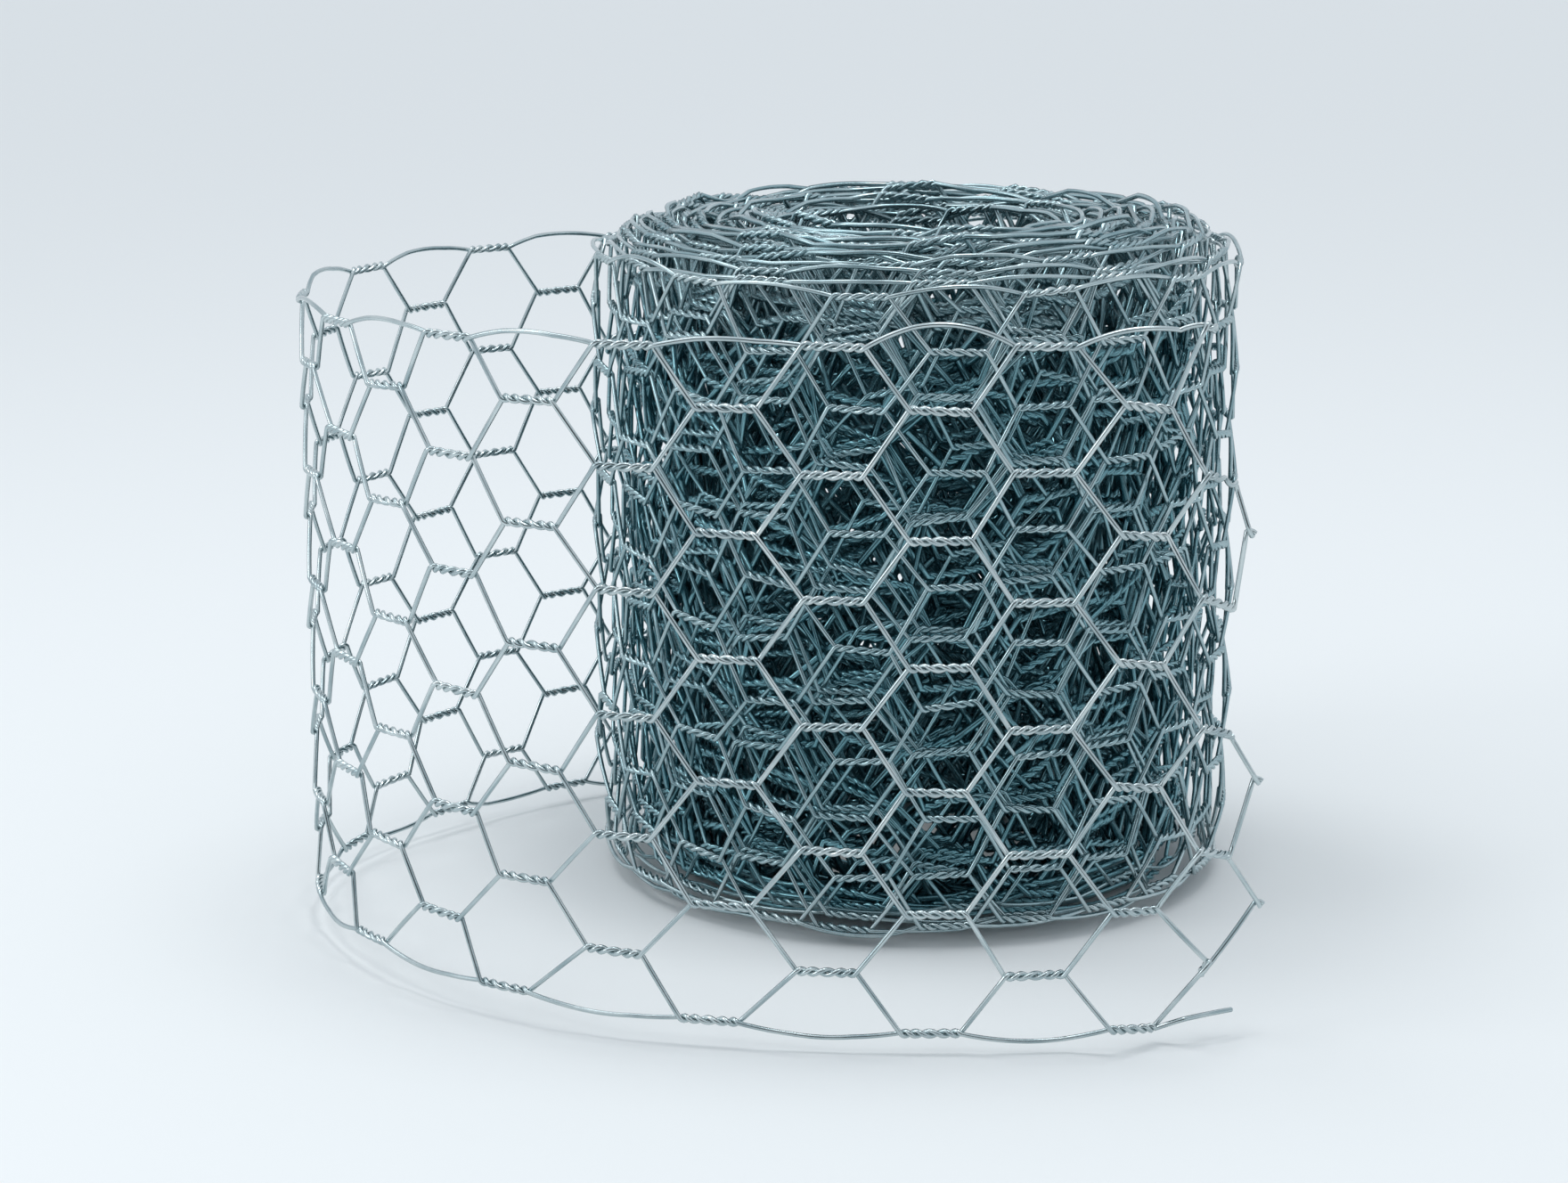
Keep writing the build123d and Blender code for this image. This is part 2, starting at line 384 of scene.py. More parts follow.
def springEnd(tree, known):
    # the netting is drawn out before its cut end, which springs back, hangs, turns and dips
    workOut(tree, known, (
        *ramp("drawnIn", "Column", "drawnOut"),
        ("pastEnd", "SUBTRACT", "Column", endColumn - 1),
        ("endPart", "MAXIMUM", "pastEnd", 0.0),
        ("endIn", "MINIMUM", "endPart", 1.0),
        *ramp("swingIn", "Column", "swung"),
        ("pastWhole", "SUBTRACT", "Column", endColumn),
        ("stubShare", "MAXIMUM", "pastWhole", 0.0),
        ("swingShare", "SUBTRACT", "swingIn", "stubShare"),
        ("swingNow", "MULTIPLY", "swingShare", "Swing"),
        ("tiltShare", "ADD", "swingIn", "endIn"),
        ("tiltAll", "MULTIPLY_ADD", "tiltShare", "End Tilt", "tiltNow"),
        ("drawn", "MULTIPLY_ADD", "drawnIn", "Draw Out", "dragged"),
        ("along", "MULTIPLY_ADD", "endPart", "Spring Back", "drawn"),
        ("rowArch", "MULTIPLY", "Row", "rowsBelowTop"),
        ("archIn", "MULTIPLY CLAMPED", "rowArch", "Droop Arch"),
        ("droopPart", "MULTIPLY", "archIn", "endIn"),
        ("up", "MULTIPLY_ADD", "droopPart", "Droop", "sagged"),
    ))


def makeShiftGroup():
    # how far one twist is out of its regular place: along, out and up, its tilt and its swing
    tree, known = newTree(
        "twistShift",
        [("Column", "NodeSocketFloat"), ("Row", "NodeSocketFloat"), *inputsFor(straying)],
        [("Shift", "NodeSocketVector"), ("Tilt", "NodeSocketFloat"), ("Swing", "NodeSocketFloat"),
         ("Squeeze", "NodeSocketFloat")],
    )
    jitter = scatterTwist(tree, known)
    dragFoot(tree, known)
    springEnd(tree, known)
    moved = addNode(tree, "ShaderNodeCombineXYZ", {"X": known["along"], "Z": known["up"]}).outputs[0]
    total = addNode(tree, "ShaderNodeVectorMath", {0: jitter, 1: moved}, operation="ADD").outputs[0]
    known["squeeze"] = 0.0
    for (column, row), (*push, squeeze) in pushedTwists.items():
        workOut(tree, known, (
            ("match", "COMPARE", "code", column * twistCodes + row, sameCode),
            ("squeeze", "MULTIPLY_ADD", "match", squeeze, "squeeze"),
        ))
        pushed = addNode(tree, "ShaderNodeVectorMath", {0: push, "Scale": known["match"]},
                         operation="SCALE").outputs[0]
        total = addNode(tree, "ShaderNodeVectorMath", {0: total, 1: pushed},
                        operation="ADD").outputs[0]
    addNode(tree, "NodeGroupOutput", {
        "Shift": total, "Tilt": known["tiltAll"], "Swing": known["swingNow"],
        "Squeeze": known["squeeze"],
    })
    return tree


def sampleWires(tree, known):
    # one line of samples for each wire: the bottom edge wire, the mesh wires, the top edge wire
    workOut(tree, known, (
        ("perColumn", "ADD", "Twist Samples", "Slant Samples"),
        ("columnCount", "SUBTRACT", "Last Column", "First Column"),
        ("wholeSamples", "MULTIPLY", "perColumn", "columnCount"),
        ("samples", "ADD", "wholeSamples", 1.0),
    ))
    start = addNode(tree, "GeometryNodeCurvePrimitiveLine").outputs[0]
    line = addNode(tree, "GeometryNodeResampleCurve", {
        "Curve": start, "Count": known["samples"],
    }).outputs[0]
    wires = addNode(tree, "GeometryNodeDuplicateElements", {"Geometry": line, "Amount": len(snips)},
                    domain="SPLINE").outputs[0]
    known["wireNumber"] = addNode(tree, "GeometryNodeCurveOfPoint").outputs[0]
    known["sample"] = addNode(tree, "GeometryNodeSplineParameter").outputs["Index"]
    workOut(tree, known, (
        ("wire", "SUBTRACT", "wireNumber", 1.0),
        ("sampleMiddle", "ADD", "sample", 0.5),
        ("steps", "DIVIDE", "sampleMiddle", "perColumn"),
        ("step", "FLOOR", "steps"),
        ("stepStart", "MULTIPLY", "step", "perColumn"),
        ("inColumn", "SUBTRACT", "sample", "stepStart"),
        ("column", "ADD", "step", "First Column"),
        ("nextColumn", "ADD", "column", 1.0),
        # how far through the twist and then through the slant
        ("twistPart", "DIVIDE CLAMPED", "inColumn", "Twist Samples"),
        ("pastTwist", "SUBTRACT", "inColumn", "Twist Samples"),
        ("slantPart", "DIVIDE CLAMPED", "pastTwist", "Slant Samples"),
        ("slantRest", "SUBTRACT", 1.0, "slantPart"),
        ("halfTwist", "MULTIPLY", "Twist Length", 0.5),
        ("slantRun", "SUBTRACT", "Column Pitch", "Twist Length"),
        ("intoTwist", "MULTIPLY", "twistPart", "Twist Length"),
        ("intoSlant", "MULTIPLY_ADD", "slantPart", "slantRun", "intoTwist"),
        ("fromColumn", "SUBTRACT", "intoSlant", "halfTwist"),
        ("along", "MULTIPLY_ADD", "column", "Column Pitch", "fromColumn"),
    ))
    return wires


def findRows(tree, known):
    # which row of twists the wire is in at this column and at the next, and how high it is there
    workOut(tree, known, (
        ("parity", "ADD", "wire", "column"),
        ("side", "FLOORED_MODULO", "parity", 2.0),
        ("nextSide", "SUBTRACT", 1.0, "side"),
        ("row", "ADD", "wire", "side"),
        ("nextRow", "ADD", "wire", "nextSide"),
        ("rowLow", "MAXIMUM", "row", 0.0),
        ("rowIn", "MINIMUM", "rowLow", topRow),
        ("nextRowLow", "MAXIMUM", "nextRow", 0.0),
        ("nextRowIn", "MINIMUM", "nextRowLow", topRow),
        # an edge wire is free at every other column, where it has no twist
        ("held", "COMPARE", "row", "rowIn", sameCode),
        ("nextHeld", "COMPARE", "nextRow", "nextRowIn", sameCode),
        ("nextFree", "SUBTRACT", 1.0, "nextHeld"),
        ("free", "SUBTRACT", 1.0, "held"),
    ))
    for row, height in (("rowIn", "height"), ("nextRowIn", "nextHeight")):
        workOut(tree, known, (
            ("first", "MINIMUM", row, 1.0),
            ("base", "MULTIPLY_ADD", "first", "Edge Rise", "Lowest Twist"),
            ("above", "SUBTRACT", row, 1.0),
            ("aboveLow", "MAXIMUM", "above", 0.0),
            ("aboveIn", "MINIMUM", "aboveLow", topRow - 2),
            ("middle", "MULTIPLY_ADD", "aboveIn", "Row Rise", "base"),
            ("topIn", "SUBTRACT CLAMPED", row, topRow - 1),
            (height, "MULTIPLY_ADD", "topIn", "Edge Rise", "middle"),
        ))
    workOut(tree, known, (
        ("rise", "SUBTRACT", "nextHeight", "height"),
        ("level", "MULTIPLY_ADD", "rise", "slantPart", "height"),
    ))


def twistStrands(tree, known):
    # two strands run round each other in a twist, faster at its ends, where they cross over
    workOut(tree, known, (
        ("roundTwist", "MULTIPLY", "twistPart", math.tau),
        ("haste", "SINE", "roundTwist"),
        ("phase", "MULTIPLY_ADD", "haste", "End Haste", "twistPart"),
        ("turn", "MULTIPLY_ADD", "phase", "Twist Turns", "Start Turn"),
        ("turnAngle", "MULTIPLY", "turn", math.tau),
        ("turnCosine", "COSINE", "turnAngle"),
        ("turnSine", "SINE", "turnAngle"),
        ("strandSign", "MULTIPLY_ADD", "side", -2.0, 1.0),
        ("signedRadius", "MULTIPLY", "Wire Radius", "strandSign"),
        ("reach", "MULTIPLY", "signedRadius", "held"),
        ("strandUp", "MULTIPLY", "reach", "turnCosine"),
        # every other column is twisted the other way
        ("handSide", "FLOORED_MODULO", "column", 2.0),
        ("hand", "MULTIPLY_ADD", "handSide", -2.0, 1.0),
        ("handedRadius", "MULTIPLY", "signedRadius", "hand"),
        ("handedReach", "MULTIPLY", "handedRadius", "held"),
        ("nextReach", "MULTIPLY", "handedRadius", "nextHeld"),
        ("strandOut", "MULTIPLY", "handedReach", "turnSine"),
        ("outHere", "MULTIPLY", "strandOut", "slantRest"),
        ("outThere", "MULTIPLY", "nextReach", "slantPart"),
        ("outBetween", "ADD", "outHere", "outThere"),
    ))


def bowEdges(tree, known):
    # an edge wire bows outwards past a column where it is free
    workOut(tree, known, (
        ("bowColumn", "ADD", "column", "nextFree"),
        ("bowStart", "MULTIPLY", "nextFree", "Column Pitch"),
        ("bowPlace", "SUBTRACT", "fromColumn", "bowStart"),
        ("bowSpan", "MULTIPLY_ADD", "slantRun", 2.0, "Twist Length"),
        ("bowFrom", "MULTIPLY_ADD", "bowSpan", 0.5, "bowPlace"),
        ("bowPart", "DIVIDE CLAMPED", "bowFrom", "bowSpan"),
        ("bowRest", "SUBTRACT", 1.0, "bowPart"),
        ("bowShape", "MULTIPLY", "bowPart", "bowRest"),
        ("bowFull", "MULTIPLY", "bowShape", 4.0),  # which is 1 in the bow's middle
        ("bowing", "MAXIMUM", "free", "nextFree"),
        ("bowNow", "MULTIPLY", "bowFull", "bowing"),
        ("edgeSide", "SUBTRACT", "wire", topRow / 2),
        ("edgeSign", "SIGN", "edgeSide"),
        ("bowCode", "MULTIPLY_ADD", "bowColumn", bowCodes, "edgeSign"),
    ))
    known["bowScatter"] = addNode(tree, "FunctionNodeRandomValue", {
        2: -1.0, 3: 1.0, "ID": known["bowCode"], "Seed": known["Seed"],
    }, data_type="FLOAT").outputs[1]
    workOut(tree, known, (
        ("bowScale", "MULTIPLY_ADD", "bowScatter", "Wave Spread", 1.0),
        ("topHeight", "MULTIPLY", "bowScale", "Edge Wave"),
        ("footHeight", "MULTIPLY", "bowScale", "Foot Wave"),
        *ramp("pullIn", "column", "pulledEdges"),
        ("slack", "MULTIPLY_ADD", "pullIn", "Edge Pull", 1.0),
    ))
    for (column, edge), size in setBows.items():
        height = "topHeight" if edge > 0 else "footHeight"
        workOut(tree, known, (
            ("match", "COMPARE", "bowCode", column * bowCodes + edge, sameCode),
            ("change", "SUBTRACT", size, height),
            (height, "MULTIPLY_ADD", "match", "change", height),
        ))
    workOut(tree, known, (
        ("atTop", "MAXIMUM", "edgeSign", 0.0),
        ("atFoot", "SUBTRACT", 1.0, "atTop"),
        ("footDrop", "MULTIPLY", "atFoot", "footHeight"),
        ("topRise", "MULTIPLY", "atTop", "topHeight"),
        ("bowFullHeight", "SUBTRACT", "topRise", "footDrop"),
        ("bowHeight", "MULTIPLY", "bowFullHeight", "slack"),
        ("levelBowed", "MULTIPLY_ADD", "bowHeight", "bowNow", "level"),
        ("wireUp", "ADD", "levelBowed", "strandUp"),
    ))


def shiftTwists(tree, known, shiftGroup):
    # each twist is out of its place, and a slant runs from one of them to the next
    shifts, tilts, swings, squeezes = [], [], [], []
    for column, row in (("column", "rowIn"), ("nextColumn", "nextRowIn")):
        group = addNode(tree, "GeometryNodeGroup", node_tree=shiftGroup)
        tree.links.new(known[column], group.inputs["Column"])
        tree.links.new(known[row], group.inputs["Row"])
        for name, _ in inputsFor(straying):
            tree.links.new(known[name], group.inputs[name])
        shifts.append(group.outputs["Shift"])
        tilts.append(group.outputs["Tilt"])
        swings.append(group.outputs["Swing"])
        squeezes.append(group.outputs["Squeeze"])
    shift = addNode(tree, "ShaderNodeMix", {
        "Factor": known["slantPart"], 4: shifts[0], 5: shifts[1],
    }, data_type="VECTOR").outputs[1]
    parts = addNode(tree, "ShaderNodeSeparateXYZ", {0: shift})
    known.update(shiftAlong=parts.outputs[0], shiftOut=parts.outputs[1], shiftUp=parts.outputs[2])
    known.update(tilt=tilts[0], nextTilt=tilts[1], swingRaw=swings[0], nextSwingRaw=swings[1],
                 squeeze=squeezes[0], nextSqueeze=squeezes[1])
    workOut(tree, known, (
        ("tiltArm", "SUBTRACT", "twistPart", 0.5),
        # a swung twist is turned about its middle: its end goes in towards the roll
        ("armFull", "MULTIPLY", "tiltArm", "Twist Length"),
        ("arm", "MULTIPLY", "armFull", "slantRest"),
        ("nextArm", "MULTIPLY", "halfTwist", "slantPart"),
        ("swing", "MULTIPLY", "swingRaw", "held"),
        ("nextSwing", "MULTIPLY", "nextSwingRaw", "nextHeld"),
        ("kept", "SUBTRACT", 1.0, "squeeze"),
        ("nextKept", "SUBTRACT", 1.0, "nextSqueeze"),
        ("swingCosine", "COSINE", "swing"),
        ("swingSine", "SINE", "swing"),
        ("nextCosine", "COSINE", "nextSwing"),
        ("nextSine", "SINE", "nextSwing"),
        ("shortCosine", "MULTIPLY", "swingCosine", "kept"),
        ("nextShortCosine", "MULTIPLY", "nextCosine", "nextKept"),
        ("foreshort", "SUBTRACT", "shortCosine", 1.0),
        ("nextForeshort", "SUBTRACT", 1.0, "nextShortCosine"),
        ("alongShifted", "ADD", "along", "shiftAlong"),
        ("alongSwung", "MULTIPLY_ADD", "arm", "foreshort", "alongShifted"),
        ("alongNow", "MULTIPLY_ADD", "nextArm", "nextForeshort", "alongSwung"),
        ("swungOut", "MULTIPLY", "arm", "swingSine"),
        ("nextSwungOut", "MULTIPLY", "nextArm", "nextSine"),
        ("swingOut", "SUBTRACT", "nextSwungOut", "swungOut"),
        ("tiltHeld", "MULTIPLY", "tilt", "held"),
        ("tiltHere", "MULTIPLY", "tiltHeld", "tiltArm"),
        ("tiltLeft", "MULTIPLY", "tiltHere", "slantRest"),
        ("nextTiltHeld", "MULTIPLY", "nextTilt", "nextHeld"),
        ("nextTiltPart", "MULTIPLY", "nextTiltHeld", "slantPart"),
        ("tiltSum", "MULTIPLY_ADD", "nextTiltPart", -0.5, "tiltLeft"),
        ("tiltUp", "MULTIPLY", "tiltSum", "Twist Length"),
    ))


def swellTurns(tree, known):
    # slow swells that differ from turn to turn
    workOut(tree, known, (
        ("woundIn", "DIVIDE CLAMPED", "along", "Swell Growth"),
        ("woundShare", "SUBTRACT", 1.0, "Loose Share"),
        ("freedom", "MULTIPLY_ADD", "woundIn", "woundShare", "Loose Share"),
        # between their edges the buried turns swell further, so that their rows don't line up
        ("levelShare", "DIVIDE", "level", "Net Width"),
        ("footShare", "SUBTRACT", 1.0, "levelShare"),
        ("levelHump", "MULTIPLY", "levelShare", "footShare"),
        ("humpIn", "MULTIPLY CLAMPED", "levelHump", 4.0),  # which is 1 halfway up
        *ramp("buriedIn", "column", "buried"),
        ("buckleShare", "MULTIPLY", "humpIn", "buriedIn"),
        ("buckled", "MULTIPLY_ADD", "buckleShare", "Buckle", 1.0),
    ))
    for name, start in swellStarts.items():
        workOut(tree, known, (("swellPlace", "MULTIPLY_ADD", "along", "Swell Rate", start),))
        known["swellRaw"] = addNode(tree, "ShaderNodeTexNoise", {
            "W": known["swellPlace"], "Scale": 1.0, "Detail": 1.0,
        }, noise_dimensions="1D").outputs[0]
        workOut(tree, known, (
            ("swell", "SUBTRACT", "swellRaw", 0.5),  # about as much inwards as outwards
            (name, "MULTIPLY", "swell", "freedom"),
        ))


def bendRound(tree, known):
    # the place of each sample once the sheet is bent onto the plan line
    workOut(tree, known, (
        ("outShifted", "ADD", "outBetween", "shiftOut"),
        ("outSum", "ADD", "outShifted", "swingOut"),
        ("outSwelled", "MULTIPLY_ADD", "outSwell", "Out Swell", "outSum"),
        # the foot of the last wound turn is drawn in
        *ramp("lastTurnIn", "column", "lastTurn"),
        *ramp("leavingIn", "column", "leavingRoll"),
        ("footHeightShare", "DIVIDE", "level", "Foot Draw Height"),
        ("footNear", "SUBTRACT CLAMPED", 1.0, "footHeightShare"),
        ("footBend", "POWER", "footNear", "Foot Draw Bend"),
        ("lastTurn", "MULTIPLY", "lastTurnIn", "leavingIn"),
        ("drawShare", "MULTIPLY", "footBend", "lastTurn"),
        ("outNow", "MULTIPLY_ADD", "drawShare", "Foot Draw", "outSwelled"),
        ("upSum", "ADD", "wireUp", "shiftUp"),
        ("upTilted", "ADD", "upSum", "tiltUp"),
        ("upBuckled", "MULTIPLY", "upSwell", "buckled"),
        ("upNow", "MULTIPLY_ADD", "upBuckled", "Up Swell", "upTilted"),
        ("lineLength", "ADD", "alongNow", "Line Offset"),
        ("run", "MULTIPLY_ADD", "wireNumber", runStep, "lineLength"),
    ))
    info = addNode(tree, "GeometryNodeObjectInfo", {0: known["Plan Line"]})
    spot = addNode(tree, "GeometryNodeSampleCurve", {
        "Curves": info.outputs["Geometry"], "Length": known["lineLength"],
    }, mode="LENGTH", use_all_curves=True)
    sideways = addNode(tree, "ShaderNodeVectorMath", {
        0: spot.outputs["Tangent"], 1: (0.0, 0.0, 1.0),
    }, operation="CROSS_PRODUCT").outputs[0]
    outward = addNode(tree, "ShaderNodeVectorMath", {0: sideways}, operation="NORMALIZE").outputs[0]
    outVector = addNode(tree, "ShaderNodeVectorMath", {0: outward, "Scale": known["outNow"]},
                        operation="SCALE").outputs[0]
    planSpot = addNode(tree, "ShaderNodeVectorMath", {0: spot.outputs["Position"], 1: outVector},
                       operation="ADD").outputs[0]
    parts = addNode(tree, "ShaderNodeSeparateXYZ", {0: planSpot})
    known["planHeight"] = parts.outputs[2]
    workOut(tree, known, (
        # the feet of the wound turns are pressed down, but not their tops
        *ramp("settleIn", "column", "pressedFeet"),
        ("settleShare", "MULTIPLY", "settleIn", "footShare"),
        ("settledOnce", "MULTIPLY_ADD", "settleShare", "Settle", "upNow"),
        *ramp("deepIn", "column", "deepFeet"),
        ("deepShare", "MULTIPLY", "deepIn", "footShare"),
        ("settled", "MULTIPLY_ADD", "deepShare", "Deep Settle", "settledOnce"),
        # the lowest wires rest on the floor
        ("heightFree", "ADD", "planHeight", "settled"),
        ("heightNow", "MAXIMUM", "heightFree", "Wire Radius"),
    ))
    return addNode(tree, "ShaderNodeCombineXYZ", {
        "X": parts.outputs[0], "Y": parts.outputs[1], "Z": known["heightNow"],
    }).outputs[0]


def measureDepth(tree, known):
    # how much painted shade the wire gets and how thick it is, by its depth inside the roll
    workOut(tree, known, (
        ("firstIn", "MULTIPLY CLAMPED", "column", "First Dull Rate"),
        ("deeperIn", "MULTIPLY_ADD CLAMPED", "column", "Deep Dull Rate", "Deep Dull Start"),
        ("deeperShare", "SUBTRACT", 1.0, "First Dull"),
        ("deeperShade", "MULTIPLY", "deeperIn", "deeperShare"),
        ("depthShade", "MULTIPLY_ADD", "firstIn", "First Dull", "deeperShade"),
        ("belowTop", "SUBTRACT", "Net Width", "level"),
        ("topCover", "MULTIPLY CLAMPED", "belowTop", "Top Dull Rate"),
        ("footCover", "MULTIPLY_ADD CLAMPED", "level", "Foot Dull Rate", "buriedIn"),
        ("endsCover", "MULTIPLY", "topCover", "footCover"),
        ("cover", "MAXIMUM", "endsCover", "Ends Dull"),
        # the share of painted shade: most deep in the roll, less towards its ends
        ("buried", "MULTIPLY", "depthShade", "cover"),
        ("belowEdgeIn", "MULTIPLY CLAMPED", "belowTop", "Thickening Rate"),
        *ramp("thickIn", "column", "thickened"),
        ("thickShare", "MULTIPLY", "thickIn", "belowEdgeIn"),
        ("thickness", "MULTIPLY_ADD", "thickShare", "Thickening", 1.0),
    ))


def snipWires(tree, known, wires):
    # each wire ends where it was snipped
    snipInfo = addNode(tree, "GeometryNodeObjectInfo", {0: known["Snips"]})
    snipSpot = addNode(tree, "GeometryNodeSampleIndex", {
        "Geometry": snipInfo.outputs["Geometry"], "Index": known["wireNumber"],
        "Value": addNode(tree, "GeometryNodeInputPosition").outputs[0],
    }, data_type="FLOAT_VECTOR").outputs[0]
    known["snipPlace"] = addNode(tree, "ShaderNodeSeparateXYZ", {0: snipSpot}).outputs[0]
    workOut(tree, known, (("snipped", "GREATER_THAN", "along", "snipPlace"),))
    return addNode(tree, "GeometryNodeDeleteGeometry", {
        "Geometry": wires, "Selection": known["snipped"],
    }, domain="POINT").outputs[0]


def drawTubes(tree, known, wires):
    # round wire along each line, with its place in the section kept for the streaks
    circle = addNode(tree, "GeometryNodeCurvePrimitiveCircle", {
        "Resolution": known["Sides"], "Radius": known["Wire Radius"],
    }).outputs[0]
    profile = addNode(tree, "GeometryNodeStoreNamedAttribute", {
        "Geometry": circle, "Name": "section",
        "Value": addNode(tree, "GeometryNodeInputPosition").outputs[0],
    }, data_type="FLOAT_VECTOR", domain="POINT").outputs[0]
    thickness = addNode(tree, "GeometryNodeInputNamedAttribute", {"Name": "thickness"},
                        data_type="FLOAT").outputs["Attribute"]
    tubes = addNode(tree, "GeometryNodeCurveToMesh", {
        "Curve": wires, "Profile Curve": profile, "Scale": thickness, "Fill Caps": True,
    }).outputs[0]
    bare = addNode(tree, "GeometryNodeRemoveAttribute", {
        "Geometry": tubes, "Name": "thickness",
    }).outputs[0]
    return addNode(tree, "GeometryNodeSetShadeSmooth", {"Geometry": bare}).outputs[0]


def makeNettingTree(shiftGroup):
    # the wires of one stretch: worked out as a flat sheet, then bent round onto the plan line
    tree, known = newTree(
        "hexagonalNetting",
        [("Geometry", "NodeSocketGeometry"), ("Plan Line", "NodeSocketObject"),
         ("Line Offset", "NodeSocketFloat"), ("Snips", "NodeSocketObject"),
         ("Material", "NodeSocketMaterial"),
         *inputsFor(netting, straying, pressing, paintedDepthShade, stretches["looseEnd"])],
        [("Geometry", "NodeSocketGeometry")],
    )
    wires = sampleWires(tree, known)
    findRows(tree, known)
    twistStrands(tree, known)
    bowEdges(tree, known)
    shiftTwists(tree, known, shiftGroup)
    swellTurns(tree, known)
    place = bendRound(tree, known)
    measureDepth(tree, known)
    marked = addNode(tree, "GeometryNodeSetPosition", {
        "Geometry": wires, "Position": place,
    }).outputs[0]
    # buried carries the share of painted shade to the wire's material
    for name in ("run", "buried", "thickness"):
        marked = addNode(tree, "GeometryNodeStoreNamedAttribute", {
            "Geometry": marked, "Name": name, "Value": known[name],
        }, data_type="FLOAT", domain="POINT").outputs[0]
    tubes = drawTubes(tree, known, snipWires(tree, known, marked))
    real = addNode(tree, "GeometryNodeRealizeInstances", {"Geometry": tubes}).outputs[0]
    finished = addNode(tree, "GeometryNodeSetMaterial", {
        "Geometry": real, "Material": known["Material"],
    }).outputs[0]
    addNode(tree, "NodeGroupOutput", {"Geometry": finished})
    return tree


def makeSnipMarks():
    # one point for each wire: x is how far along the loose end it was snipped
    places = [(column * netting["columnPitch"] + past, 0, 0) for column, past in snips]
    mesh = bpy.data.meshes.new("snipMarks")
    mesh.from_pydata(places, [], [])
    marks = bpy.data.objects.new("snipMarks", mesh)
    bpy.context.scene.collection.objects.link(marks)
    return marks


def makeStretch(name, stretch, tree, line, lineOffset, marks, material):
    # the tree's wires for one stretch, turned into a plain mesh
    carrier = bpy.data.objects.new(name + "Carrier", bpy.data.meshes.new(name + "Carrier"))
    bpy.context.scene.collection.objects.link(carrier)
    modifier = carrier.modifiers.new("netting", "NODES")
    modifier.node_group = tree
    values = {"Plan Line": line, "Line Offset": lineOffset, "Snips": marks, "Material": material}
    for table in (netting, straying, pressing, paintedDepthShade, stretch):
        values.update((inputName(key), value) for key, value in table.items())
    for item in tree.interface.items_tree:
        if item.in_out == "INPUT" and item.name in values:
            modifier[item.identifier] = values[item.name]
    graph = bpy.context.evaluated_depsgraph_get()
    mesh = bpy.data.meshes.new_from_object(carrier.evaluated_get(graph))
    mesh.name = name
    piece = bpy.data.objects.new(name, mesh)
    bpy.context.scene.collection.objects.link(piece)
    bpy.data.objects.remove(carrier)
    triangles = sum(len(face.vertices) - 2 for face in mesh.polygons)
    print(name, "made, triangles", triangles)
    return piece


# Materials

def linearColour(hexText):
    # sRGB hex to the linear colour that a shader reads
    channels = [int(hexText[at:at + 2], 16) / 255 for at in (1, 3, 5)]
    linear = [c / 12.92 if c <= 0.04045 else ((c + 0.055) / 1.055) ** 2.4 for c in channels]
    return (*linear, 1.0)


galvanised = {
    "bright": "#CFD9DA",
    "dull": "#96A9AE",
    "inside": "#659BA6",  # painted shade: the darker teal that the wires are given inside the roll
    "insideShadeShare": 0.85,  # how much of that painted shade shows where a wire is buried deepest
    "roughness": 0.24,
    "roughnessSpread": 0.16,  # the bright streaks are smoother
    "patchSize": 0.008,  # metres
    "patchContrast": (0.35, 0.65),  # the part of the noise that runs from dull to bright
    "streakShare": 0.5,  # of the colour's clouding
    "streakSize": 0.00022,  # across the wire
    "streakLength": 0.012,
    "streakDepth": 0.0001,
    "streakBump": 0.25,
}


